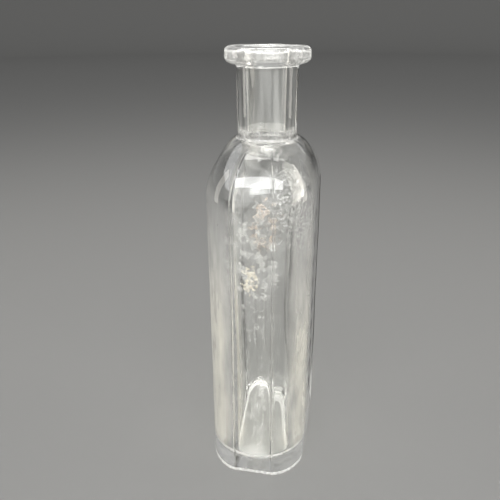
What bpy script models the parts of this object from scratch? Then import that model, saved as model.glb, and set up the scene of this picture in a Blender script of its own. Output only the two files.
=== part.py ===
"""Small cork-stoppered medicine bottle in clear glass, open and empty.

An oblong body with a flat panel on each of its four sides, a round neck, and a
ring of glass laid on round the mouth. Dried patches of the old contents cling to
the inside of one end.

Metres, +Z up. The origin is the centre of the base, on the surface that the
bottle stands on. +X is along the bottle's width and +Y along its depth.
"""
import math

import bmesh
import bpy

# Body
HEIGHT = 0.150
HALF_WIDTH = 0.0270
HALF_DEPTH = 0.0174
END_PANEL_HALF = 0.0069
BROAD_PANEL_HALF = 0.0147
CORNER_POWER = 1.675

# Shoulder: where it meets the neck, and how far it falls to the broad faces
NECK_BASE_Z = 0.1216
SHOULDER_FALL = 0.0129
SHOULDER_FALL_POWER = 0.278
SHOULDER_POWER = 1.59

# Neck and bore
NECK_RADIUS_LOW = 0.0098
NECK_RADIUS_HIGH = 0.0101
BORE_RADIUS = 0.0068
MOUTH_FLARE = 0.0013
MOUTH_FLARE_DEPTH = 0.0020

# Laid-on lip: an underside that slopes out, then a rounded rim
LIP_RADIUS = 0.0138
LIP_UNDERSIDE_Z = 0.1445
LIP_UNDERSIDE_RISE = 0.0005
LIP_LOWER_ROUND = (0.0019, 0.0021)
LIP_UPPER_ROUND = (0.0015, 0.0018)

# The hollow: an oval, so that the glass is thick in the corners, over an uneven floor
WALL = 0.0026
HOLLOW_POWER = 2.4
SHOULDER_WALL = 0.0024
FLOOR_Z = 0.0062
FLOOR_TILT = 0.09
FLOOR_FILLET_IN = 0.0040
FLOOR_FILLET_UP = 0.0042

# The base
HEEL_ROUNDING = 0.0007
RESTING_RIM = 0.0022
PUSH_UP = 0.0012
PUSH_UP_SHARES = (0.3, 0.5, 0.7, 0.85)
PANEL_SHRINK = 0.25

# How far the inside of the shoulder runs out to the broad faces
INNER_RUN = HALF_DEPTH - WALL - BORE_RADIUS

# Gaps that touching pieces keep, and the residue
TOUCHING_GAP = 0.0003
RESIDUE_GAP = 0.0004
RESIDUE_THICKNESS = 0.0004
RESIDUE_RAGGEDNESS = ((3, 0.12), (7, 0.06))

# Facets
END_STEPS = 2
CORNER_STEPS = 8
BROAD_STEPS = 4
SHOULDER_STEPS = 9
ROUND_STEPS = 4
PATCH_SPOKES = 26
PATCH_RINGS = 4


def clear_scene():
    for item in list(bpy.data.objects):
        bpy.data.objects.remove(item, do_unlink=True)


def even_steps(start, end, count):
    """Evenly spaced values from start to end, both included."""
    return [start + (end - start) * index / count for index in range(count + 1)]


def section(inset):
    """The body's outline, set in by this much, counter-clockwise from the +X end."""
    width = HALF_WIDTH - inset
    depth = HALF_DEPTH - inset
    end_half = END_PANEL_HALF - PANEL_SHRINK * inset
    broad_half = BROAD_PANEL_HALF - PANEL_SHRINK * inset
    quarter = [(width, y) for y in even_steps(0.0, end_half, END_STEPS)[:-1]]
    for turn in even_steps(0.0, math.pi / 2, CORNER_STEPS):
        along = max(math.cos(turn), 0.0) ** (2 / CORNER_POWER)
        across = math.sin(turn) ** (2 / CORNER_POWER)
        x = broad_half + (width - broad_half) * along
        y = end_half + (depth - end_half) * across
        quarter.append((x, y))
    quarter += [(x, depth) for x in even_steps(broad_half, 0.0, BROAD_STEPS)[1:]]
    half = quarter + [(-x, y) for x, y in reversed(quarter[:-1])]
    return half[:-1] + [(-x, -y) for x, y in half[:-1]]


def outline_ways():
    """Which way each point of the body's outline lies from the axis."""
    return [math.atan2(y, x) for x, y in section(0.0)]


def hollow_reach(way, inset):
    """How far the inside of the walls is from the axis, looking this way."""
    along = abs(math.cos(way)) / (HALF_WIDTH - inset)
    across = abs(math.sin(way)) / (HALF_DEPTH - inset)
    return (along ** HOLLOW_POWER + across ** HOLLOW_POWER) ** (-1 / HOLLOW_POWER)


def hollow(inset):
    """The hollow's outline, set in by this much, with points that face the same ways as the body's."""
    reaches = [(way, hollow_reach(way, inset)) for way in outline_ways()]
    return [(reach * math.cos(way), reach * math.sin(way)) for way, reach in reaches]


def at_height(outline, z):
    return [(x, y, z) for x, y in outline]


def circle(radius, z):
    """A round ring whose points face the same ways as the body's outline."""
    return [(radius * math.cos(way), radius * math.sin(way), z) for way in outline_ways()]


def shoulder_fall(run, reference_run):
    """How far the shoulder falls, which grows with how far it runs out."""
    return SHOULDER_FALL * (run / reference_run) ** SHOULDER_FALL_POWER


def shoulder_rings(outline, neck_radius, neck_z, reference_run):
    """Rings from the top of the body's walls up and in to the neck."""
    rings = []
    for turn in even_steps(0.0, math.pi / 2, SHOULDER_STEPS):
        out = max(math.cos(turn), 0.0) ** (2 / SHOULDER_POWER)
        up = math.sin(turn) ** (2 / SHOULDER_POWER)
        ring = []
        for x, y in outline:
            way = math.atan2(y, x)
            run = math.hypot(x, y) - neck_radius
            fall = shoulder_fall(run, reference_run)
            radius = neck_radius + run * out
            ring.append((radius * math.cos(way), radius * math.sin(way), neck_z - fall + fall * up))
        rings.append(ring)
    return rings


def base_rings():
    """The pushed-up underside, the flat rim that it stands on, and the rounded heel."""
    rim_inner = HEEL_ROUNDING + RESTING_RIM
    half_width = HALF_WIDTH - rim_inner
    half_depth = HALF_DEPTH - rim_inner
    rim = section(rim_inner)
    rings = []
    for share in PUSH_UP_SHARES:
        ring = []
        for x, y in rim:
            off_centre = share ** 2 * ((x / half_width) ** 2 + (y / half_depth) ** 2)
            ring.append((x * share, y * share, PUSH_UP * max(0.0, 1 - off_centre) ** 2))
        rings.append(ring)
    rings.append(at_height(rim, 0.0))
    for turn in even_steps(0.0, math.pi / 2, ROUND_STEPS):
        inset = HEEL_ROUNDING * (1 - math.sin(turn))
        rings.append(at_height(section(inset), HEEL_ROUNDING * (1 - math.cos(turn))))
    return rings


def mouth_rings():
    """The flat top of the neck, and the mouth flaring down to the bore."""
    rings = [circle(NECK_RADIUS_HIGH, HEIGHT)]
    for turn in even_steps(0.0, math.pi / 2, ROUND_STEPS):
        radius = BORE_RADIUS + MOUTH_FLARE * (1 - math.sin(turn))
        rings.append(circle(radius, HEIGHT - MOUTH_FLARE_DEPTH * (1 - math.cos(turn))))
    return rings


def floor_rings():
    """The inside corner between the walls and the floor, which is thicker at one end."""
    rings = []
    for turn in even_steps(0.0, math.pi / 2, ROUND_STEPS + 1):
        rise = FLOOR_FILLET_UP * (1 - math.sin(turn))
        outline = hollow(WALL + FLOOR_FILLET_IN * (1 - math.cos(turn)))
        rings.append([(x, y, FLOOR_Z - FLOOR_TILT * x + rise) for x, y in outline])
    return rings


def bridge(mesh, lower, upper):
    count = len(lower)
    for index in range(count):
        after = (index + 1) % count
        mesh.faces.new((lower[index], lower[after], upper[after], upper[index]))


def make_object(name, mesh, material):
    data = bpy.data.meshes.new(name)
    mesh.to_mesh(data)
    mesh.free()
    data.materials.append(material)
    data.shade_smooth()
    data.set_sharp_from_angle(angle=math.radians(30))
    item = bpy.data.objects.new(name, data)
    bpy.context.scene.collection.objects.link(item)
    return item


def glass_vessel(material):
    """Body, shoulder and neck, blown in one: outer skin, mouth, then inner skin."""
    rings = base_rings()
    rings += shoulder_rings(section(0.0), NECK_RADIUS_LOW, NECK_BASE_Z, HALF_DEPTH - NECK_RADIUS_LOW)
    rings += mouth_rings()
    rings += reversed(shoulder_rings(hollow(WALL), BORE_RADIUS, NECK_BASE_Z - SHOULDER_WALL, INNER_RUN))
    rings += floor_rings()
    mesh = bmesh.new()
    loops = [[mesh.verts.new(point) for point in ring] for ring in rings]
    for lower, upper in zip(loops, loops[1:]):
        bridge(mesh, lower, upper)
    under = mesh.verts.new((0.0, 0.0, PUSH_UP))
    floor = mesh.verts.new((0.0, 0.0, FLOOR_Z))
    for index, corner in enumerate(loops[0]):
        mesh.faces.new((under, loops[0][(index + 1) % len(loops[0])], corner))
    for index, corner in enumerate(loops[-1]):
        mesh.faces.new((floor, corner, loops[-1][(index + 1) % len(loops[-1])]))
    return make_object("glass_vessel", mesh, material)


def lip_profile():
    """The lip's outline as (radius, height), from its inner foot out, up and back in."""
    inner = NECK_RADIUS_HIGH + TOUCHING_GAP
    lower_out, lower_up = LIP_LOWER_ROUND
    upper_out, upper_up = LIP_UPPER_ROUND
    profile = [(inner, LIP_UNDERSIDE_Z)]
    for turn in even_steps(0.0, math.pi / 2, ROUND_STEPS):
        radius = LIP_RADIUS - lower_out * (1 - math.sin(turn))
        height = LIP_UNDERSIDE_Z + LIP_UNDERSIDE_RISE + lower_up * (1 - math.cos(turn))
        profile.append((radius, height))
    for turn in even_steps(0.0, math.pi / 2, ROUND_STEPS):
        radius = LIP_RADIUS - upper_out * (1 - math.cos(turn))
        profile.append((radius, HEIGHT - upper_up * (1 - math.sin(turn))))
    profile.append((inner, HEIGHT))
    return profile


def laid_on_lip(material):
    """The ring of glass round the end of the neck."""
    mesh = bmesh.new()
    loops = []
    for radius, height in lip_profile():
        loops.append([mesh.verts.new(point) for point in circle(radius, height)])
    for lower, upper in zip(loops, loops[1:] + loops[:1]):
        bridge(mesh, lower, upper)
    return make_object("laid_on_lip", mesh, material)


def inside_point(way, z, clearance):
    """A point on the inside of the glass, held off it by the clearance."""
    neck_z = NECK_BASE_Z - SHOULDER_WALL - clearance
    run = hollow_reach(way, WALL + clearance) - BORE_RADIUS
    fall = shoulder_fall(run, INNER_RUN)
    rise = max(0.0, (z - neck_z + fall) / fall)
    radius = BORE_RADIUS + run * (1 - rise ** SHOULDER_POWER) ** (1 / SHOULDER_POWER)
    return (radius * math.cos(way), radius * math.sin(way), z)


def residue(name, way, height, half_angle, half_height, phase, material):
    """A thin ragged scab that follows the inside of the glass."""
    mesh = bmesh.new()

    def layer(clearance):
        centre = mesh.verts.new(inside_point(way, height, clearance))
        rings = []
        for share in even_steps(0.0, 1.0, PATCH_RINGS)[1:]:
            ring = []
            for spoke in range(PATCH_SPOKES):
                turn = 2 * math.pi * spoke / PATCH_SPOKES
                ragged = 1 + sum(size * math.sin(waves * turn + phase) for waves, size in RESIDUE_RAGGEDNESS)
                across = way + half_angle * share * ragged * math.cos(turn)
                up = height + half_height * share * ragged * math.sin(turn)
                ring.append(mesh.verts.new(inside_point(across, up, clearance)))
            rings.append(ring)
        return centre, rings

    glass_centre, glass_rings = layer(RESIDUE_GAP)
    open_centre, open_rings = layer(RESIDUE_GAP + RESIDUE_THICKNESS)
    for index in range(PATCH_SPOKES):
        after = (index + 1) % PATCH_SPOKES
        mesh.faces.new((glass_centre, glass_rings[0][index], glass_rings[0][after]))
        mesh.faces.new((open_centre, open_rings[0][after], open_rings[0][index]))
    for inner, outer in zip(glass_rings, glass_rings[1:]):
        bridge(mesh, outer, inner)
    for inner, outer in zip(open_rings, open_rings[1:]):
        bridge(mesh, inner, outer)
    bridge(mesh, open_rings[-1], glass_rings[-1])
    return make_object(name, mesh, material)


def finish(name, colour, roughness, transmission=0.0):
    material = bpy.data.materials.new(name)
    material.use_nodes = True
    shader = material.node_tree.nodes["Principled BSDF"]
    shader.inputs["Base Color"].default_value = (*colour, 1.0)
    shader.inputs["Roughness"].default_value = roughness
    shader.inputs["Metallic"].default_value = 0.0
    shader.inputs["Transmission Weight"].default_value = transmission
    return material


def main():
    clear_scene()
    glass_vessel(finish("clear_glass", (0.86, 0.88, 0.85), 0.04, 0.9))
    laid_on_lip(finish("lip_glass", (0.84, 0.86, 0.84), 0.05, 0.9))
    residue("residue_cream_crust", math.radians(0), 0.0795, math.radians(11), 0.0085, 0.6,
            finish("cream_crust", (0.62, 0.55, 0.42), 0.85))
    residue("residue_brown_ring", math.radians(7), 0.0985, math.radians(10.5), 0.0060, 2.1,
            finish("brown_stain", (0.42, 0.31, 0.24), 0.80))
    residue("residue_shoulder_haze", math.radians(30), 0.1105, math.radians(7.5), 0.0050, 3.7,
            finish("white_haze", (0.66, 0.66, 0.64), 0.90))


main()
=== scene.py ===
"""A small clear-glass medicine bottle, open and empty, with dried residue inside one end.

Everything is in metres in the part's own frame: +Z up, +X along the width, +Y along the depth.
"""

import math

import bpy
import numpy as np
from mathutils import Matrix, Vector, noise
from mathutils.bvhtree import BVHTree


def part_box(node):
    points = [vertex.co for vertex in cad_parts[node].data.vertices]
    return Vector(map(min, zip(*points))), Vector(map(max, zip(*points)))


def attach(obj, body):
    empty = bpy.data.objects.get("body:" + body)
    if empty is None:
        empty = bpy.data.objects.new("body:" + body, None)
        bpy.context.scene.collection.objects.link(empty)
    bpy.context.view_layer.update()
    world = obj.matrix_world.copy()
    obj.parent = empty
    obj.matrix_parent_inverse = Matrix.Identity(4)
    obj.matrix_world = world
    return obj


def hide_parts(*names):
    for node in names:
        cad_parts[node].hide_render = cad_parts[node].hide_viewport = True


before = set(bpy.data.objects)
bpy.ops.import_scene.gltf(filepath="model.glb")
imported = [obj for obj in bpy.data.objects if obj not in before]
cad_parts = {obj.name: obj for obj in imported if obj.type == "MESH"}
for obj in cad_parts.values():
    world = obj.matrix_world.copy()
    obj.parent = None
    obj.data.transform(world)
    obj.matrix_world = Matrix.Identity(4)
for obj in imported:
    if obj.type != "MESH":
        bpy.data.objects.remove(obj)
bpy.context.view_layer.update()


# ---------------------------------------------------------------- measures

MM = 0.001
vessel_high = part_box("glass_vessel")[1]
lip_low, lip_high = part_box("laid_on_lip")
HEIGHT = vessel_high.z
HALF_WIDTH = vessel_high.x
HALF_DEPTH = vessel_high.y
LIP_RADIUS = lip_high.x
LIP_UNDERSIDE_Z = lip_low.z

# Section of the body
END_PANEL_HALF = 6.9 * MM
BROAD_PANEL_HALF = 14.7 * MM
CORNER_POWER = 1.675
PANEL_SHRINK = 0.25

# Shoulder and neck
NECK_BASE_Z = 121.6 * MM
SHOULDER_FALL = 12.9 * MM
SHOULDER_FALL_POWER = 0.278
SHOULDER_POWER = 1.59
NECK_RADIUS_LOW = 9.8 * MM
NECK_RADIUS_HIGH = 10.1 * MM
NECK_FILLET = 1.2 * MM
BORE_RADIUS = 6.8 * MM
MOUTH_FLARE = 1.3 * MM
MOUTH_FLARE_DEPTH = 2.0 * MM

# Lip
LIP_FOOT_FILLET = 0.5 * MM
LIP_UNDERSIDE_RISE = 0.5 * MM
LIP_LOWER_ROUND = (1.9 * MM, 2.1 * MM)
LIP_UPPER_ROUND = (1.5 * MM, 1.8 * MM)

# The hollow: rounder than the outside, so the glass is thick in the corners, with a sloping floor
WALL = 2.6 * MM
HOLLOW_POWER = 2.4
SHOULDER_WALL = 2.4 * MM
FLOOR_Z = 6.2 * MM
FLOOR_TILT = 0.09
FLOOR_FILLET_IN = 4.0 * MM
FLOOR_FILLET_UP = 4.2 * MM

# Base
HEEL_ROUNDING = 0.7 * MM
RESTING_RIM = 2.2 * MM
PUSH_UP = 1.2 * MM

# Fine raised lines where the flat panels meet the rounded corners. They have a share of their height at the
# base and all of it from the foot up. The mesh has stops beside a line, and even steps where it turns plain.
ARRIS_HEIGHT = 0.21 * MM
ARRIS_REACH = 0.38 * MM
ARRIS_FOOT_SHARE = 0.3
ARRIS_FOOT_Z = 14 * MM
ARRIS_FADE = 2 * MM
ARRIS_STOPS = [0.14 * MM, 0.28 * MM, 0.42 * MM, 0.8 * MM]
PLAIN_START = 1.2 * MM
END_LINE_TOP_Z = 120.5 * MM
BROAD_LINE_TOP_Z = 106 * MM

# Raised marks up the middle of each broad face: plain lozenges
MARK_HEIGHT = 0.25 * MM
MARK_HALF_WIDTH = 4.0 * MM
MARK_HALF_LENGTH = 3.6 * MM
MARK_EDGE = 0.45
MARK_FIRST_Z = 24 * MM
MARK_LAST_Z = 94 * MM
MARK_COUNT = 9

# The mark that a tool left on the side of the lip
TOOL_MARK_TURN = math.radians(-12)
TOOL_MARK_RADIUS = LIP_RADIUS * 0.93
TOOL_MARK_Z = LIP_UNDERSIDE_Z + 1.2 * MM
TOOL_MARK_REACH = 3.2 * MM

# Air bubbles in the walls
BUBBLE_COUNT = 26
BUBBLE_LEVELS = 5
BUBBLE_COLUMNS = 8

# Mesh density round the outline. The marked middle of a broad panel is at most a share of it.
END_STEPS = 5
CORNER_STEPS = 21
CORNER_SAMPLES = 1500
BROAD_PLAIN_STEPS = 5
BROAD_MARKED_STEPS = 14
MARKED_HALF = 8 * MM
MARKED_SHARE = 0.6

# Mesh density up the outside
UNDERSIDE_CENTRE = 0.08
UNDERSIDE_STEPS = 20
RIM_STEPS = 3
HEEL_STEPS = 6
BODY_STEPS = 104
SHOULDER_STEPS = 32
NECK_FILLET_STEPS = 8
NECK_STEPS = 20
LIP_FOOT_STEPS = 4
LIP_UNDERSIDE_STEPS = 4
LIP_ROUND_STEPS = 9
LIP_TOP_STEPS = 6

# Mesh density down the inside
BORE_STEPS = 16
INNER_SHOULDER_STEPS = 26
INNER_WALL_STEPS = 44
FLOOR_FILLET_STEPS = 14
FLOOR_STEPS = 8
FLOOR_CENTRE = 0.1

# The glass's materials, in the order of its slots
CLEAR, FILMED, SCUFFED_AND_SHEEN, WORN_AND_HIGHLIGHT, UNDERSIDE_PAINTED_LIGHT = range(5)


# ---------------------------------------------------------------- the bottle's shape

def even_steps(start, end, count):
    """Evenly spaced values from start to end, both included."""
    return [start + (end - start) * index / count for index in range(count + 1)]


def quarter_turns(count):
    return even_steps(0.0, math.pi / 2, count)


def smooth_step(value):
    """0 below 0, 1 above 1, and a smooth rise between."""
    share = np.clip(value, 0.0, 1.0)
    return share * share * (3 - 2 * share)


def half_round(quarter, flip):
    """Half an outline's values from one quarter's, without the last, where the other half starts."""
    half = quarter + [flip(value) for value in reversed(quarter[:-1])]
    return half[:-1]


def corner_curve(width, depth, end_half, broad_half):
    """Points along one rounded corner and how far along it each lies."""
    turns = np.linspace(0.0, math.pi / 2, CORNER_SAMPLES)
    along = np.clip(np.cos(turns), 0.0, 1.0) ** (2 / CORNER_POWER)
    across = np.sin(turns) ** (2 / CORNER_POWER)
    x = broad_half + (width - broad_half) * along
    y = end_half + (depth - end_half) * across
    points = np.column_stack([x, y])
    travelled = np.concatenate([[0.0], np.cumsum(np.hypot(*np.diff(points, axis=0).T))])
    return points, travelled


def quarter_section(inset):
    """A quarter of the outline, set in by this much, from the middle of the end to that of the broad face.

    Returns its points, how far along it each of them lies, and how far along it the two panels' edges lie.
    """
    width = HALF_WIDTH - inset
    depth = HALF_DEPTH - inset
    end_half = END_PANEL_HALF - PANEL_SHRINK * inset
    broad_half = BROAD_PANEL_HALF - PANEL_SHRINK * inset
    marked_half = min(MARKED_HALF, MARKED_SHARE * broad_half)
    inward = list(reversed(ARRIS_STOPS))
    end_stops = even_steps(0.0, end_half - PLAIN_START, END_STEPS)
    end_stops += [end_half - stop for stop in inward] + [end_half]
    points, travelled = corner_curve(width, depth, end_half, broad_half)
    corner_length = travelled[-1]
    corner_stops = ARRIS_STOPS + even_steps(PLAIN_START, corner_length - PLAIN_START, CORNER_STEPS)
    corner_stops += [corner_length - stop for stop in inward] + [corner_length]
    corner_x = np.interp(corner_stops, travelled, points[:, 0])
    corner_y = np.interp(corner_stops, travelled, points[:, 1])
    broad_stops = [broad_half - stop for stop in ARRIS_STOPS]
    broad_stops += even_steps(broad_half - PLAIN_START, marked_half, BROAD_PLAIN_STEPS)
    broad_stops += even_steps(marked_half, 0.0, BROAD_MARKED_STEPS)[1:]
    quarter = [(width, y) for y in end_stops]
    quarter += list(zip(corner_x, corner_y))
    quarter += [(x, depth) for x in broad_stops]
    corner_end = end_half + corner_length
    lengths = end_stops + [end_half + stop for stop in corner_stops]
    lengths += [corner_end + broad_half - x for x in broad_stops]
    return quarter, lengths, (end_half, corner_end)


def section(inset):
    """The body's outline, set in by this much, counter-clockwise from the +X end, as an N by 2 array."""
    quarter, _, _ = quarter_section(inset)
    half = half_round(quarter, lambda point: (-point[0], point[1]))
    return np.array(half + [(-x, -y) for x, y in half])


OUTLINE = section(0.0)
WAYS = np.arctan2(OUTLINE[:, 1], OUTLINE[:, 0])


def line_distances():
    """How far each of the outline's points is from the nearest end panel's edge and broad panel's edge."""
    _, lengths, edges = quarter_section(0.0)
    half = half_round(lengths, lambda length: length)
    around = np.array(half + half)
    return [np.abs(around - edge) for edge in edges]


def ring(outline, z):
    return np.column_stack([outline, np.broadcast_to(z, len(outline))])


def circle(radius, z):
    """A ring whose points face the same ways as the body's outline."""
    return np.column_stack([radius * np.cos(WAYS), radius * np.sin(WAYS), np.broadcast_to(z, len(WAYS))])


def shoulder(outline, neck_radius, neck_z, reference_run, fillet, count):
    """Rings from the top of the body's walls up to the neck, ending in a small hollow fillet."""
    ways = np.arctan2(outline[:, 1], outline[:, 0])
    run = np.hypot(outline[:, 0], outline[:, 1]) - neck_radius
    fall = SHOULDER_FALL * (run / reference_run) ** SHOULDER_FALL_POWER
    last_turn = np.arccos((fillet / run) ** (SHOULDER_POWER / 2))
    rings = []
    for share in even_steps(0.0, 1.0, count):
        turn = last_turn * share
        radius = neck_radius + run * np.cos(turn) ** (2 / SHOULDER_POWER)
        z = neck_z - fall + fall * np.sin(turn) ** (2 / SHOULDER_POWER)
        rings.append(np.column_stack([radius * np.cos(ways), radius * np.sin(ways), z]))
    foot_z = rings[-1][:, 2]
    for turn in quarter_turns(NECK_FILLET_STEPS)[1:]:
        radius = neck_radius + fillet * (1 - math.sin(turn))
        rings.append(circle(radius, foot_z + fillet * (1 - math.cos(turn))))
    return rings


def blend_rings(lower, upper, count):
    """Rings between two rings, neither included."""
    return [lower + (upper - lower) * share for share in even_steps(0.0, 1.0, count)[1:-1]]


def softened(rings, middle, reach, passes):
    """The rings with the change of direction at the middle one eased over this many rings either side."""
    band = np.array(rings[middle - reach:middle + reach + 1])
    for _ in range(passes):
        band[1:-1] = 0.25 * band[:-2] + 0.5 * band[1:-1] + 0.25 * band[2:]
    return rings[:middle - reach] + list(band) + rings[middle + reach + 1:]


def base_rings():
    """The pushed-up underside, the flat rim it stands on, and the rounded heel."""
    rim_inner = HEEL_ROUNDING + RESTING_RIM
    rim = section(rim_inner)
    oval = np.array([HALF_WIDTH - rim_inner, HALF_DEPTH - rim_inner])
    rings = []
    for share in even_steps(UNDERSIDE_CENTRE, 1.0, UNDERSIDE_STEPS):
        outline = rim * share
        off_centre = np.sum((outline / oval) ** 2, axis=1)
        rings.append(ring(outline, PUSH_UP * np.clip(1 - off_centre, 0.0, 1.0) ** 2))
    rings += blend_rings(rings[-1], ring(section(HEEL_ROUNDING), 0.0), RIM_STEPS)
    for turn in quarter_turns(HEEL_STEPS):
        inset = HEEL_ROUNDING * (1 - math.sin(turn))
        rings.append(ring(section(inset), HEEL_ROUNDING * (1 - math.cos(turn))))
    return rings


def outer_body_rings():
    """The outside from the base up to the foot of the neck."""
    rings = base_rings()
    upper = shoulder(OUTLINE, NECK_RADIUS_LOW, NECK_BASE_Z,
                     HALF_DEPTH - NECK_RADIUS_LOW, NECK_FILLET, SHOULDER_STEPS)
    rings += blend_rings(rings[-1], upper[0], BODY_STEPS)
    return softened(rings + upper, len(rings), reach=9, passes=14)


def lip_rings():
    """From the neck under the lip, out round the lip, over its top and down into the mouth."""
    lower_out, lower_up = LIP_LOWER_ROUND
    upper_out, upper_up = LIP_UPPER_ROUND
    profile = []
    for turn in quarter_turns(LIP_FOOT_STEPS):
        profile.append((NECK_RADIUS_HIGH + LIP_FOOT_FILLET * (1 - math.cos(turn)),
                        LIP_UNDERSIDE_Z - LIP_FOOT_FILLET * (1 - math.sin(turn))))
    knee = LIP_RADIUS - lower_out
    foot = profile[-1][0]
    for share in even_steps(0.0, 1.0, LIP_UNDERSIDE_STEPS)[1:-1]:
        profile.append((foot + (knee - foot) * share, LIP_UNDERSIDE_Z + LIP_UNDERSIDE_RISE * share))
    for turn in quarter_turns(LIP_ROUND_STEPS):
        profile.append((knee + lower_out * math.sin(turn),
                        LIP_UNDERSIDE_Z + LIP_UNDERSIDE_RISE + lower_up * (1 - math.cos(turn))))
    for turn in quarter_turns(LIP_ROUND_STEPS):
        profile.append((LIP_RADIUS - upper_out * (1 - math.cos(turn)),
                        HEIGHT - upper_up * (1 - math.sin(turn))))
    brink = BORE_RADIUS + MOUTH_FLARE
    top = profile[-1][0]
    for share in even_steps(0.0, 1.0, LIP_TOP_STEPS)[1:-1]:
        profile.append((top + (brink - top) * share, HEIGHT))
    for turn in quarter_turns(LIP_ROUND_STEPS):
        profile.append((BORE_RADIUS + MOUTH_FLARE * (1 - math.sin(turn)),
                        HEIGHT - MOUTH_FLARE_DEPTH * (1 - math.cos(turn))))
    return [circle(radius, z) for radius, z in profile]


def hollow(inset):
    """The hollow's outline: an oval squarer than an ellipse, set in by this much, facing the same ways."""
    along = np.abs(np.cos(WAYS)) / (HALF_WIDTH - WALL - inset)
    across = np.abs(np.sin(WAYS)) / (HALF_DEPTH - WALL - inset)
    radius = (along ** HOLLOW_POWER + across ** HOLLOW_POWER) ** (-1 / HOLLOW_POWER)
    return np.column_stack([radius * np.cos(WAYS), radius * np.sin(WAYS)])


def floor_height(outline):
    """The sloping floor's height under each point."""
    return FLOOR_Z - FLOOR_TILT * outline[:, 0]


def inner_rings():
    """The bore, the inside of the shoulder and walls, and the floor."""
    upper = shoulder(hollow(0.0), BORE_RADIUS, NECK_BASE_Z - SHOULDER_WALL,
                     HALF_DEPTH - WALL - BORE_RADIUS, 2 * NECK_FILLET, INNER_SHOULDER_STEPS)
    fillet = []
    for turn in quarter_turns(FLOOR_FILLET_STEPS):
        outline = hollow(FLOOR_FILLET_IN * (1 - math.cos(turn)))
        fillet.append(ring(outline, floor_height(outline) + FLOOR_FILLET_UP * (1 - math.sin(turn))))
    floor_edge = fillet[-1]
    floor = [floor_edge * (share, share, 1.0) for share in even_steps(1.0, FLOOR_CENTRE, FLOOR_STEPS)[1:]]
    for level in floor:
        level[:, 2] = floor_height(level)
    falling = list(reversed(upper))
    walls = falling + blend_rings(upper[0], fillet[0], INNER_WALL_STEPS)
    return softened(walls, len(falling) - 1, reach=7, passes=12) + fillet + floor


# ---------------------------------------------------------------- its surface

def mark_relief(points):
    """How far each point of the outer skin stands out, for the raised lozenges."""
    relief = np.zeros(len(points))
    tolerance = 0.01 * MM
    on_face = np.abs(points[:, 1]) > HALF_DEPTH - tolerance
    for z in even_steps(MARK_FIRST_Z, MARK_LAST_Z, MARK_COUNT - 1):
        reach = np.abs(points[:, 0]) / MARK_HALF_WIDTH + np.abs(points[:, 2] - z) / MARK_HALF_LENGTH
        relief = np.maximum(relief, MARK_HEIGHT * smooth_step((1 - reach) / MARK_EDGE))
    return relief * on_face


def line_relief(grid, first_side_ring):
    """The fine raised lines up the panels' edges, on a rings by columns grid."""
    end_distance, broad_distance = line_distances()
    relief = np.zeros(grid.shape[:2])
    z = grid[:, :, 2]
    narrowing = np.hypot(grid[:, :, 0], grid[:, :, 1]) / np.hypot(OUTLINE[:, 0], OUTLINE[:, 1])
    height = ARRIS_HEIGHT * (ARRIS_FOOT_SHARE + (1 - ARRIS_FOOT_SHARE) * smooth_step(z / ARRIS_FOOT_Z))
    for distance, top in ((end_distance, END_LINE_TOP_Z), (broad_distance, BROAD_LINE_TOP_Z)):
        across = np.clip(1 - (distance * narrowing / ARRIS_REACH) ** 2, 0.0, 1.0) ** 2
        relief += height * across * smooth_step((top - z) / ARRIS_FADE)
    relief[:first_side_ring] = 0.0
    return relief.reshape(-1)


def ripples(points, wavelength, amplitude, seed, stretch=(1.0, 1.0, 1.0), waves=14):
    """A smooth uneven value at each point, made of plane waves of about this length."""
    random = np.random.default_rng(seed)
    total = np.zeros(len(points))
    for _ in range(waves):
        way = random.normal(size=3)
        way = way / np.linalg.norm(way) / np.array(stretch)
        length = wavelength * random.uniform(0.7, 1.5)
        total += np.sin(points @ way * (2 * math.pi / length) + random.uniform(0, 2 * math.pi))
    return total * amplitude / math.sqrt(waves / 2)


def near(points, spot, reach):
    """1 at a spot, falling smoothly to nothing at about this distance."""
    return np.exp(-np.sum((points - np.array(spot)) ** 2, axis=1) / (0.5 * reach) ** 2)


def outer_unevenness(points):
    """The slow waves of the outside and the marks of tooling on the lip."""
    standing = smooth_step(points[:, 2] / (4 * MM))
    on_lip = smooth_step((points[:, 2] - LIP_UNDERSIDE_Z + 0.5 * MM) / MM)
    waves = ripples(points, wavelength=22 * MM, amplitude=0.04 * MM, seed=3) * standing
    waves += ripples(points, wavelength=9 * MM, amplitude=0.06 * MM, seed=4) * on_lip
    mark = (TOOL_MARK_RADIUS * math.cos(TOOL_MARK_TURN),
            TOOL_MARK_RADIUS * math.sin(TOOL_MARK_TURN),
            TOOL_MARK_Z)
    rough = ripples(points, wavelength=1.6 * MM, amplitude=0.16 * MM, seed=5)
    return waves + rough * near(points, mark, TOOL_MARK_REACH)


def inner_unevenness(points):
    """The slow waves of the inside, and the long upright ones of the bore."""
    in_bore = smooth_step((points[:, 2] - NECK_BASE_Z + 4 * MM) / (4 * MM))
    waves = ripples(points, wavelength=26 * MM, amplitude=0.16 * MM, seed=8, stretch=(1, 1, 2.5))
    waves += ripples(points, wavelength=9 * MM, amplitude=0.03 * MM, seed=9, stretch=(1, 1, 5))
    upright = ripples(points, wavelength=4.5 * MM, amplitude=0.10 * MM, seed=10, stretch=(1, 1, 12))
    return waves * (1 - 0.6 * in_bore) + upright * in_bore


def grid_normals(grid):
    """Normals of a rings by columns by 3 grid, pointing out of the glass."""
    along = np.gradient(grid, axis=0)
    around = np.roll(grid, -1, axis=1) - np.roll(grid, 1, axis=1)
    normals = np.cross(around, along)
    length = np.linalg.norm(normals, axis=2, keepdims=True)
    return normals / np.maximum(length, 1e-12)


def mesh_object(name, vertices, faces, *materials):
    data = bpy.data.meshes.new(name)
    data.from_pydata([tuple(point) for point in vertices], [], faces)
    data.validate()
    data.shade_smooth()
    for material in materials:
        data.materials.append(material)
    item = bpy.data.objects.new(name, data)
    bpy.context.scene.collection.objects.link(item)
    return item


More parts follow.
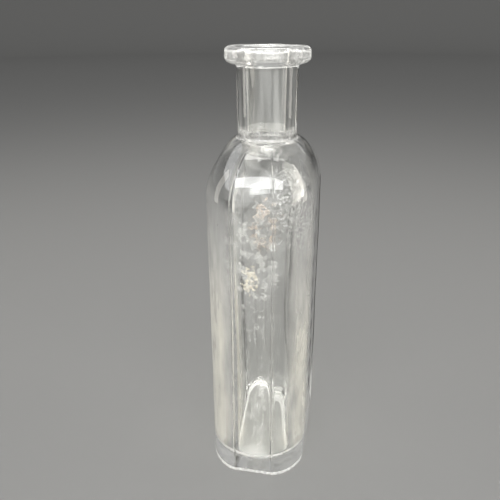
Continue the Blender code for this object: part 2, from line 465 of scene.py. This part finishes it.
def air_bubble(centre, radius, length):
    """A tiny closed bubble, stretched upright. Its faces look into the air it holds."""
    points = [centre - Vector((0, 0, length))]
    for lift in even_steps(-math.pi / 2, math.pi / 2, BUBBLE_LEVELS + 1)[1:-1]:
        for index in range(BUBBLE_COLUMNS):
            turn = 2 * math.pi * index / BUBBLE_COLUMNS
            out = radius * math.cos(lift)
            offset = Vector((out * math.cos(turn), out * math.sin(turn), length * math.sin(lift)))
            points.append(centre + offset)
    points.append(centre + Vector((0, 0, length)))
    faces = []
    last = len(points) - 1
    for index in range(BUBBLE_COLUMNS):
        after = (index + 1) % BUBBLE_COLUMNS
        faces.append((0, 1 + index, 1 + after))
        for level in range(BUBBLE_LEVELS - 1):
            row = 1 + level * BUBBLE_COLUMNS
            above = row + BUBBLE_COLUMNS
            faces.append((row + index, above + index, above + after, row + after))
        row = 1 + (BUBBLE_LEVELS - 1) * BUBBLE_COLUMNS
        faces.append((row + index, last, row + after))
    return points, faces


def add_bubbles(vertices, faces):
    """Puts small air bubbles in the thickness of the walls."""
    random = np.random.default_rng(21)
    inside = hollow(0.0)
    for _ in range(BUBBLE_COUNT):
        column = random.integers(len(WAYS))
        across = random.uniform(0.3, 0.7)
        x, y = OUTLINE[column] * across + inside[column] * (1 - across)
        radius = random.uniform(0.10, 0.24) * MM
        centre = Vector((x, y, random.uniform(14, 98) * MM))
        points, shell = air_bubble(centre, radius, radius * random.uniform(1.2, 2.2))
        first = len(vertices)
        vertices += [tuple(point) for point in points]
        faces += [tuple(first + corner for corner in face) for face in shell]


def ring_faces(rings, count):
    """The four-sided faces between rings of this many points, ring by ring."""
    faces = []
    for row in range(rings - 1):
        for column in range(count):
            after = (column + 1) % count
            faces.append((row * count + column, row * count + after,
                          (row + 1) * count + after, (row + 1) * count + column))
    return faces


def bottle_glass(*materials):
    """The whole glass as one skin: outside from the base up, over the lip, and down inside to the floor.

    Its materials come in the order of CLEAR, the outside and the bubbles; FILMED, the inside, with painted
    light in its film; SCUFFED_AND_SHEEN, the resting rim and the heel, whitened partly as wear and partly as
    a painted bright outline; WORN_AND_HIGHLIGHT, the lip, whitened partly as wear and partly as painted
    highlights, and the foot of the neck, whitened as a painted highlight; and UNDERSIDE_PAINTED_LIGHT, the
    pushed-up underside, whitened as painted light.
    Returns the object and a search tree of its faces.
    """
    lower = outer_body_rings()
    lip = lip_rings()
    neck = blend_rings(lower[-1], lip[0], NECK_STEPS)
    inner = inner_rings()
    bore = blend_rings(lip[-1], inner[0], BORE_STEPS)
    grid = np.array(lower + neck + lip + bore + inner)
    count = len(WAYS)
    base_count = len(base_rings())
    lip_start = len(lower) + len(neck)
    outer_count = lip_start + len(lip)

    points = grid.reshape(-1, 3)
    split = outer_count * count
    shift = np.concatenate([mark_relief(points[:split]) + outer_unevenness(points[:split]),
                            inner_unevenness(points[split:])])
    shift[:len(lower) * count] += line_relief(grid[:len(lower)], base_count)
    points = points + grid_normals(grid).reshape(-1, 3) * shift[:, None]

    faces = ring_faces(len(grid), count)
    underside_centre = len(points)
    floor_centre = underside_centre + 1
    last = (len(grid) - 1) * count
    faces += [(floor_centre, last + column, last + (column + 1) % count) for column in range(count)]
    faces += [(underside_centre, (column + 1) % count, column) for column in range(count)]
    centres = [points[:count].mean(axis=0), points[last:].mean(axis=0)]
    vertices = [tuple(point) for point in np.vstack([points, centres])]
    add_bubbles(vertices, faces)

    item = mesh_object("bottle_glass", vertices, faces, *materials)
    indices = np.full(len(faces), CLEAR, dtype=np.int32)

    def paint(material, start, end):
        """Gives a material to the faces between two rings. The two fans come after the last ring."""
        indices[start * count:end * count] = material

    # Underside: whitened as painted light that brightens the base.
    paint(UNDERSIDE_PAINTED_LIGHT, 0, UNDERSIDE_STEPS)
    # Rim and heel: whitened partly as wear and partly as a painted bright outline along the base.
    paint(SCUFFED_AND_SHEEN, UNDERSIDE_STEPS, base_count)
    # Foot of the neck: whitened as a painted highlight along its fillet.
    paint(WORN_AND_HIGHLIGHT, len(lower) - NECK_FILLET_STEPS + 1, len(lower) + 1)
    # Lip: whitened partly as wear and partly as painted highlights.
    paint(WORN_AND_HIGHLIGHT, lip_start + LIP_FOOT_STEPS, outer_count - 1)
    paint(FILMED, outer_count - 1, len(grid))
    # Middle of the underside: the same painted light.
    paint(UNDERSIDE_PAINTED_LIGHT, len(grid), len(grid) + 1)
    item.data.polygons.foreach_set("material_index", indices)
    return item, BVHTree.FromPolygons(vertices, faces)


# ---------------------------------------------------------------- residue on the inside

# How far the flakes stand off the glass, and how fine their mesh is
LIFT = 0.02 * MM
GRAIN = 0.14 * MM

# A flake is at its full thickness where its density is this high, and tapers by this power below it
FULL_DENSITY = 0.35
TAPER_POWER = 0.7


def wall_spot(tree, turn, z):
    """The inside of the glass that way from the bottle's axis: the point, and the way into the hollow."""
    out = Vector((math.cos(turn), math.sin(turn), 0.0))
    place, normal, _, _ = tree.ray_cast(Vector((0, 0, z)), out)
    if normal.dot(out) > 0:
        normal = -normal
    return place, normal


def grain_value(place, size, layers, seed):
    """Cloudy uneven value, about -1 to 1, that changes over this size."""
    return noise.fractal(place / size + Vector((seed, 0, 0)), 0.4, 2.1, layers)


def flakes(name, material, tree, middle, half, thickness, density):
    """Thin flakes on the inside of the glass, wherever density is over 0. Their edges taper to nothing.

    middle and half are (way round in radians, height in metres). density(across, up, place) takes the two
    distances from the middle as shares of half.
    """
    radius = (wall_spot(tree, *middle)[0] * Vector((1, 1, 0))).length
    columns = int(2 * half[0] * radius / GRAIN)
    rows = int(2 * half[1] / GRAIN)
    spots = {}
    for column in range(columns + 1):
        for row in range(rows + 1):
            across, up = 2 * column / columns - 1, 2 * row / rows - 1
            place, normal = wall_spot(tree, middle[0] + across * half[0], middle[1] + up * half[1])
            on_edge = column in (0, columns) or row in (0, rows)
            value = -1.0 if on_edge else density(across, up, place)
            spots[column, row] = (place + normal * LIFT, normal, value)
    vertices, numbers, faces = [], {}, []

    def number(key, point):
        if key not in numbers:
            numbers[key] = len(vertices)
            vertices.append(point)
        return numbers[key]

    def outer_point(corner):
        place, normal, value = spots[corner]
        return place + normal * thickness * min(value / FULL_DENSITY, 1.0) ** TAPER_POWER

    def crossing(one, other):
        one, other = sorted((one, other))
        a, b = spots[one], spots[other]
        return number(("rim", one, other), a[0].lerp(b[0], a[2] / (a[2] - b[2])))

    for column in range(columns):
        for row in range(rows):
            corners = [(column, row), (column + 1, row), (column + 1, row + 1), (column, row + 1)]
            top, under = [], []
            for one, other in zip(corners, corners[1:] + corners[:1]):
                if spots[one][2] > 0:
                    top.append(number(("top", one), outer_point(one)))
                    under.append(number(("under", one), spots[one][0]))
                if (spots[one][2] > 0) != (spots[other][2] > 0):
                    rim = crossing(one, other)
                    top.append(rim)
                    under.append(rim)
            if len(top) > 2:
                faces.append(tuple(reversed(top)))
                faces.append(tuple(under))
    item = mesh_object(name, vertices, faces, material)
    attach(item, "root")
    return item


def crust_density(across, up, place):
    """Curdled flakes, closest together in the middle."""
    body = 0.36 - 1.5 * (across * across + up * up)
    return body + 0.80 * grain_value(place, 2.0 * MM, 6, 3.0)


def film_density(across, up, place):
    """Larger pale patches with ragged edges, thinning out all round."""
    body = 0.12 - 0.75 * (across * across + up * up)
    return body + 0.85 * grain_value(place, 2.6 * MM, 6, 57.0)


def ring_density(across, up, place):
    """A broken ring of dried drops."""
    from_ring = math.hypot(across * 1.15, up) - 0.55
    return 0.10 - 1.3 * abs(from_ring) + 0.80 * grain_value(place, 1.3 * MM, 5, 17.0)


def haze_density(across, up, place):
    """Fine close specks."""
    body = -0.04 - 0.5 * (across * across + up * up)
    return body + 0.85 * grain_value(place, 0.7 * MM, 5, 29.0)


def speck_density(across, up, place):
    """A few scattered specks and short streaks."""
    stretched = Vector((place.x, place.y, place.z * 0.22))
    return 0.9 * grain_value(stretched, 1.0 * MM, 4, 41.0) - 0.36 - 0.3 * across * across


# ---------------------------------------------------------------- materials

GLASS_IOR = 1.5
GLASS_SHADOW = (0.93, 0.935, 0.93)
FILMED_SHADOW = (0.9, 0.9, 0.89)


def new_material(name):
    material = bpy.data.materials.new(name)
    material.use_nodes = True
    return material, material.node_tree.nodes, material.node_tree.links


def let_lamps_through(nodes, links, shader, tint):
    """Rays from lamps pass straight through, so that what is behind the glass is lit."""
    path = nodes.new("ShaderNodeLightPath")
    clear = nodes.new("ShaderNodeBsdfTransparent")
    clear.inputs["Color"].default_value = (*tint, 1.0)
    mix = nodes.new("ShaderNodeMixShader")
    links.new(path.outputs["Is Shadow Ray"], mix.inputs["Fac"])
    links.new(shader.outputs["BSDF"], mix.inputs[1])
    links.new(clear.outputs["BSDF"], mix.inputs[2])
    links.new(mix.outputs["Shader"], nodes["Material Output"].inputs["Surface"])


def object_place(nodes, links, stretch=(1.0, 1.0, 1.0)):
    """The place on the object, in metres, with each axis scaled."""
    coordinates = nodes.new("ShaderNodeTexCoord")
    mapping = nodes.new("ShaderNodeMapping")
    mapping.inputs["Scale"].default_value = stretch
    links.new(coordinates.outputs["Object"], mapping.inputs["Vector"])
    return mapping.outputs["Vector"]


def clouds(nodes, links, place, size, detail=3.0, roughness=0.55):
    """A noise value from about 0.3 to 0.7 that changes over this size."""
    texture = nodes.new("ShaderNodeTexNoise")
    texture.inputs["Scale"].default_value = 1 / size
    texture.inputs["Detail"].default_value = detail
    texture.inputs["Roughness"].default_value = roughness
    links.new(place, texture.inputs["Vector"])
    return texture.outputs["Fac"]


def remap(nodes, links, value, low, high, to_low, to_high):
    """A value moved from one range to another, and held within it."""
    node = nodes.new("ShaderNodeMapRange")
    node.inputs["From Min"].default_value = low
    node.inputs["From Max"].default_value = high
    node.inputs["To Min"].default_value = to_low
    node.inputs["To Max"].default_value = to_high
    links.new(value, node.inputs["Value"])
    return node.outputs["Result"]


def combine(nodes, links, operation, *values):
    """A sum, product or the like, worked out from left to right. Each value is a socket or a number."""
    result = values[0]
    for value in values[1:]:
        node = nodes.new("ShaderNodeMath")
        node.operation = operation
        for term, socket in ((result, node.inputs[0]), (value, node.inputs[1])):
            if isinstance(term, float):
                socket.default_value = term
            else:
                links.new(term, socket)
        result = node.outputs["Value"]
    return result


def colour_ramp(nodes, links, value, *stops):
    """A colour that runs through (position, colour) stops."""
    ramp = nodes.new("ShaderNodeValToRGB")
    elements = ramp.color_ramp.elements
    elements[0].position, elements[0].color = stops[0][0], (*stops[0][1], 1.0)
    elements[1].position, elements[1].color = stops[-1][0], (*stops[-1][1], 1.0)
    for position, colour in stops[1:-1]:
        elements.new(position).color = (*colour, 1.0)
    links.new(value, ramp.inputs["Fac"])
    return ramp.outputs["Color"]


def outer_glass():
    """Clean glossy glass with faintly smudged patches."""
    material, nodes, links = new_material("clear_bottle_glass")
    shader = nodes["Principled BSDF"]
    let_lamps_through(nodes, links, shader, GLASS_SHADOW)
    shader.inputs["Transmission Weight"].default_value = 1.0
    shader.inputs["IOR"].default_value = GLASS_IOR
    place = object_place(nodes, links)
    smudges = clouds(nodes, links, place, 9 * MM, 4.0)
    links.new(remap(nodes, links, smudges, 0.45, 0.7, 0.0, 0.045), shader.inputs["Roughness"])
    tint = colour_ramp(nodes, links, clouds(nodes, links, place, 30 * MM),
                       (0.35, (0.955, 0.965, 0.95)), (0.65, (0.985, 0.985, 0.975)))
    links.new(tint, shader.inputs["Base Color"])
    return material


def scuff_and_sheen_glass(name, size, least_clear, most_clear):
    """Glass whitened unevenly in fine scratch-like patches; 1 is fully clear. Part of the whitening is real
    wear, and part is painted light that brightens the base, the lip and the foot of the neck.
    """
    material, nodes, links = new_material(name)
    shader = nodes["Principled BSDF"]
    let_lamps_through(nodes, links, shader, GLASS_SHADOW)
    shader.inputs["IOR"].default_value = GLASS_IOR
    shader.inputs["Base Color"].default_value = (0.94, 0.94, 0.92, 1.0)
    scratches = clouds(nodes, links, object_place(nodes, links), size, 6.0, 0.7)
    links.new(remap(nodes, links, scratches, 0.35, 0.65, least_clear, most_clear),
              shader.inputs["Transmission Weight"])
    links.new(remap(nodes, links, scratches, 0.35, 0.65, 0.25, 0.03), shader.inputs["Roughness"])
    return material


def inner_glass():
    """The inside of the glass, dulled by a film: white up the +X end. Painted light is set into the same
    film: a creamy glow down the lower corners and a paler sheen up the corners, for light refracted through
    the thick glass there, a bright band along the front of the floor, and a creamy glow round the top of the
    shoulder under the neck.
    """
    material, nodes, links = new_material("filmed_and_painted_light_bottle_glass")
    shader = nodes["Principled BSDF"]
    let_lamps_through(nodes, links, shader, FILMED_SHADOW)
    shader.inputs["IOR"].default_value = GLASS_IOR
    place = object_place(nodes, links)
    upright = object_place(nodes, links, (1, 1, 0.2))
    very_upright = object_place(nodes, links, (1, 1, 0.05))
    split = nodes.new("ShaderNodeSeparateXYZ")
    links.new(place, split.inputs["Vector"])

    def mask(value, low, high, to_low=0.0, to_high=1.0):
        return remap(nodes, links, value, low, high, to_low, to_high)

    def product(*factors):
        return combine(nodes, links, "MULTIPLY", *factors)

    def total(*terms):
        return combine(nodes, links, "ADD", *terms)

    def band(axis, *limits):
        """0 to 1 from the first limit to the second, and back to 0 from any third limit to the fourth."""
        rise = mask(split.outputs[axis], *limits[:2])
        if len(limits) == 4:
            return product(rise, mask(split.outputs[axis], *limits[2:], 1.0, 0.0))
        return rise

    # Patterns
    cloudy = mask(clouds(nodes, links, place, 6 * MM, 6.0, 0.65), 0.40, 0.68)
    speckled = mask(clouds(nodes, links, place, 0.8 * MM, 6.0, 0.75), 0.46, 0.66)
    streaky = mask(clouds(nodes, links, upright, 7 * MM, 4.0), 0.32, 0.6, 0.3, 1.0)
    thin = mask(clouds(nodes, links, upright, 12 * MM, 5.0), 0.35, 0.7, 0.0, 0.03)
    neck_streaky = mask(clouds(nodes, links, very_upright, 3 * MM, 2.0), 0.42, 0.62, 0.0, 0.12)

    # Places
    sideways = combine(nodes, links, "ABSOLUTE", split.outputs["Y"], 0.0)
    end_panel = product(band("X", 12 * MM, 22 * MM), band("Z", 58 * MM, 84 * MM, 112 * MM, 122 * MM),
                        mask(sideways, 6 * MM, 10 * MM, 1.0, 0.0))
    shoulder_side = product(band("X", 8 * MM, 12 * MM), band("Y", 2 * MM, 8 * MM, 11 * MM, 15 * MM),
                            band("Z", 84 * MM, 98 * MM, 108 * MM, 118 * MM))
    front_half = band("X", 0.0, 12 * MM)
    corners = total(band("Y", -7 * MM, -10.5 * MM), band("Y", 9 * MM, 12 * MM))
    low_corners = product(corners, front_half, band("Z", 0.0, 12 * MM, 55 * MM, 100 * MM))
    high_corners = product(corners, front_half, band("Z", 30 * MM, 60 * MM, 100 * MM, 114 * MM))
    in_neck = band("Z", 120 * MM, 124 * MM, 142 * MM, 147 * MM)
    neck_side = product(in_neck, band("X", 0.0, 2 * MM), band("Y", 2.4 * MM, 3.4 * MM, 5.0 * MM, 6.0 * MM))
    under_neck = band("Z", 113 * MM, 118 * MM, 120.5 * MM, 122 * MM)
    on_floor = band("Z", 12 * MM, 8 * MM)
    # Where a painted highlight runs along the front fillet of the floor.
    floor_front_glint = product(band("X", 15 * MM, 22 * MM), band("Y", -9 * MM, -4 * MM, 2 * MM, 7 * MM))

    # How much of the light the film stops in each place. Some of it is painted light, as marked below.
    mottled = total(product(cloudy, 0.24), product(speckled, 0.12))
    # Painted light: a creamy glow round the top of the shoulder under the neck.
    collar_glow = product(under_neck, cloudy, 0.26)
    white = total(product(end_panel, mottled), product(shoulder_side, speckled, 0.30),
                  product(in_neck, neck_streaky), product(neck_side, streaky, 0.16), collar_glow)
    # Painted light: a creamy glow down the lower corners, for warm light refracted through the thick glass
    # there.
    cream = product(low_corners, streaky, 0.48)
    # Painted light: a pale sheen up the corners, making the sides brighter than the middle, for light
    # refracted through the thick glass there.
    painted_corner_sheen = product(high_corners, streaky, 0.14)
    # Dust over the floor, and a painted highlight band along its front fillet.
    floor_dust_and_glint = product(on_floor, total(product(cloudy, 0.015), product(floor_front_glint, 0.16)))
    film = total(thin, floor_dust_and_glint, white, painted_corner_sheen, cream)
    links.new(combine(nodes, links, "SUBTRACT", 1.0, film), shader.inputs["Transmission Weight"])
    links.new(mask(film, 0.05, 0.4, 0.02, 0.3), shader.inputs["Roughness"])
    # Cream where the painted glows down the lower corners and round the collar are.
    tint = colour_ramp(nodes, links, total(cream, collar_glow),
                       (0.0, (0.975, 0.975, 0.955)), (0.3, (0.93, 0.90, 0.81)))
    links.new(tint, shader.inputs["Base Color"])
    return material


def residue_material(name, size, alpha_low, alpha_high, *stops):
    """Dry matt residue: a mottled colour, thin in places, with a rough crust."""
    material, nodes, links = new_material(name)
    shader = nodes["Principled BSDF"]
    place = object_place(nodes, links)
    mottle = clouds(nodes, links, place, size, 6.0, 0.65)
    links.new(colour_ramp(nodes, links, mottle, *stops), shader.inputs["Base Color"])
    thinness = clouds(nodes, links, place, 0.6 * size, 4.0)
    links.new(remap(nodes, links, thinness, 0.35, 0.65, alpha_low, alpha_high), shader.inputs["Alpha"])
    links.new(remap(nodes, links, mottle, 0.3, 0.7, 0.6, 0.95), shader.inputs["Roughness"])
    bump = nodes.new("ShaderNodeBump")
    bump.inputs["Strength"].default_value = 0.6
    bump.inputs["Distance"].default_value = 0.1 * MM
    links.new(clouds(nodes, links, place, 0.3 * size, 5.0), bump.inputs["Height"])
    links.new(bump.outputs["Normal"], shader.inputs["Normal"])
    return material


def floor_material():
    """A plain matt floor."""
    material, nodes, links = new_material("pale_floor")
    shader = nodes["Principled BSDF"]
    shader.inputs["Base Color"].default_value = (0.175, 0.175, 0.172, 1.0)
    shader.inputs["Roughness"].default_value = 0.7
    shader.inputs["Specular IOR Level"].default_value = 0.2
    return material


# ---------------------------------------------------------------- the object

# The whitened glasses of the rim, lip and underside carry painted light, as marked where they are given out.
glass, glass_tree = bottle_glass(outer_glass(), inner_glass(),
                                 scuff_and_sheen_glass("scuffed_rim_and_sheen_glass", 1.4 * MM, 0.45, 0.85),
                                 scuff_and_sheen_glass("worn_lip_and_highlight_glass", 2.5 * MM, 0.66, 0.90),
                                 scuff_and_sheen_glass("underside_painted_light_glass", 3.0 * MM, 0.965, 0.995))
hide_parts("glass_vessel", "laid_on_lip")
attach(glass, "root")

crust_paint = residue_material("dried_cream_crust", 1.6 * MM, 0.45, 1.0, (0.3, (0.50, 0.43, 0.32)),
                               (0.45, (0.70, 0.64, 0.52)), (0.65, (0.84, 0.80, 0.70)))
crust = flakes("cream_crust_flakes", crust_paint, glass_tree,
               (math.radians(-2.5), 80 * MM), (math.radians(10), 8 * MM), 0.14 * MM, crust_density)
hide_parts("residue_cream_crust")

stain_paint = residue_material("dried_brown_stain", 1.2 * MM, 0.12, 0.6, (0.3, (0.34, 0.24, 0.17)),
                               (0.5, (0.52, 0.41, 0.33)), (0.7, (0.70, 0.63, 0.56)))
stain = flakes("brown_ring_flakes", stain_paint, glass_tree,
               (math.radians(8.5), 98 * MM), (math.radians(14), 9.5 * MM), 0.12 * MM, ring_density)
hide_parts("residue_brown_ring")

haze_paint = residue_material("dried_white_haze", 0.8 * MM, 0.02, 0.22,
                              (0.3, (0.70, 0.70, 0.68)), (0.7, (0.90, 0.90, 0.88)))
haze = flakes("shoulder_haze_flakes", haze_paint, glass_tree,
              (math.radians(28), 104 * MM), (math.radians(24), 14 * MM), 0.06 * MM, haze_density)
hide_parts("residue_shoulder_haze")

film_paint = residue_material("dried_pale_film", 0.9 * MM, 0.02, 0.32,
                              (0.3, (0.66, 0.66, 0.63)), (0.7, (0.90, 0.90, 0.87)))
film = flakes("pale_film_patches", film_paint, glass_tree,
              (math.radians(1), 84 * MM), (math.radians(20), 24 * MM), 0.07 * MM, film_density)

specks = flakes("low_wall_specks", haze_paint, glass_tree,
                (math.radians(2), 42 * MM), (math.radians(20), 26 * MM), 0.08 * MM, speck_density)


# ---------------------------------------------------------------- floor, light and camera

FLOOR_GAP = 0.3 * MM
FLOOR_LEVEL_RADIUS = 2.2
FLOOR_RISE = 0.6
FLOOR_COLUMNS = 96

# The view: its bearing is from +X towards +Y, and it looks down at the bottle's narrow end
VIEW_BEARING = math.radians(11.265)
VIEW_PITCH = math.radians(23.215)
VIEW_ROLL = math.radians(-0.275)
VIEW_DISTANCE = 0.186337
VIEW_SIDE_STEP = 0.005891
VIEW_HEIGHT = 0.159991
LENS = 40.107
SENSOR = 36.0


def floor_sweep(material):
    """A round floor that is level where the bottle stands and curves up at its far rim, all the way round.

    It lies a hair under the bottle, so that a film of air shows in the rim as it does under real glass.
    """
    profile = [(FLOOR_LEVEL_RADIUS * share, 0.0) for share in (0.02, 0.1, 0.3, 0.6, 1.0)]
    for turn in quarter_turns(20)[1:]:
        radius = FLOOR_LEVEL_RADIUS + FLOOR_RISE * math.sin(turn)
        profile.append((radius, FLOOR_RISE * (1 - math.cos(turn))))
    vertices = []
    for radius, z in profile:
        for index in range(FLOOR_COLUMNS):
            turn = 2 * math.pi * index / FLOOR_COLUMNS
            vertices.append((radius * math.cos(turn), radius * math.sin(turn), z - FLOOR_GAP))
    faces = [tuple(range(FLOOR_COLUMNS))]
    faces += [face[::-1] for face in ring_faces(len(profile), FLOOR_COLUMNS)]
    item = mesh_object("floor", vertices, faces, material)
    return item


def soft_box(name, bearing, pitch, distance, size, power, colour=(1.0, 1.0, 1.0)):
    """A rectangular light that faces the middle of the bottle.

    Its bearing is from +X towards +Y and its pitch from level, both in degrees.
    """
    lamp = bpy.data.lights.new(name, "AREA")
    lamp.shape = "RECTANGLE"
    lamp.size, lamp.size_y = size
    lamp.energy = power
    lamp.color = colour
    item = bpy.data.objects.new(name, lamp)
    bpy.context.scene.collection.objects.link(item)
    turn, lift = math.radians(bearing), math.radians(pitch)
    away = Vector((math.cos(lift) * math.cos(turn), math.cos(lift) * math.sin(turn), math.sin(lift)))
    item.location = Vector((0, 0, HEIGHT / 2)) + away * distance
    item.rotation_euler = away.to_track_quat("Z", "Y").to_euler()


def camera():
    """The camera, placed by its bearing, height, distance from the bottle's axis, and step to one side."""
    away = Vector((math.cos(VIEW_BEARING), math.sin(VIEW_BEARING), 0.0))
    right = Vector((-math.sin(VIEW_BEARING), math.cos(VIEW_BEARING), 0.0))
    look = -away * math.cos(VIEW_PITCH) - Vector((0, 0, 1)) * math.sin(VIEW_PITCH)
    data = bpy.data.cameras.new("camera")
    data.sensor_width = SENSOR
    data.lens = LENS
    data.clip_start = 0.01
    item = bpy.data.objects.new("camera", data)
    bpy.context.scene.collection.objects.link(item)
    up = right.cross(look)
    turned = Matrix((right, up, -look)).transposed() @ Matrix.Rotation(VIEW_ROLL, 3, "Z")
    place = away * VIEW_DISTANCE - right * VIEW_SIDE_STEP + Vector((0, 0, VIEW_HEIGHT))
    item.matrix_world = Matrix.Translation(place) @ turned.to_4x4()
    bpy.context.scene.camera = item


def surround():
    """A plain pale room, brighter on the side of the narrow end that the main view looks at."""
    world = bpy.data.worlds.new("studio")
    world.use_nodes = True
    nodes, links = world.node_tree.nodes, world.node_tree.links
    split = nodes.new("ShaderNodeSeparateXYZ")
    links.new(nodes.new("ShaderNodeTexCoord").outputs["Generated"], split.inputs["Vector"])
    towards = remap(nodes, links, split.outputs["X"], -1.0, 1.0, 0.0, 1.0)
    shade = colour_ramp(nodes, links, towards, (0.2, (0.38, 0.38, 0.38)),
                        (0.55, (0.42, 0.42, 0.42)), (0.85, (1.0, 1.0, 0.985)))
    links.new(shade, nodes["Background"].inputs["Color"])
    return world


def studio():
    """The floor, the room and its four soft lights."""
    warm = (1.0, 0.96, 0.88)
    floor_sweep(floor_material())
    soft_box("key_light", bearing=10, pitch=56, distance=0.75, size=(0.72, 0.25), power=6.0)
    soft_box("top_light", bearing=190, pitch=72, distance=0.6, size=(0.30, 0.30), power=2.0,
             colour=(1.0, 0.985, 0.96))
    soft_box("left_light", bearing=-85, pitch=18, distance=0.6, size=(0.16, 0.7), power=1.1, colour=warm)
    soft_box("right_light", bearing=105, pitch=18, distance=0.6, size=(0.16, 0.7), power=1.1, colour=warm)
    bpy.context.scene.world = surround()


studio()
camera()
bpy.context.scene.view_settings.view_transform = "Standard"
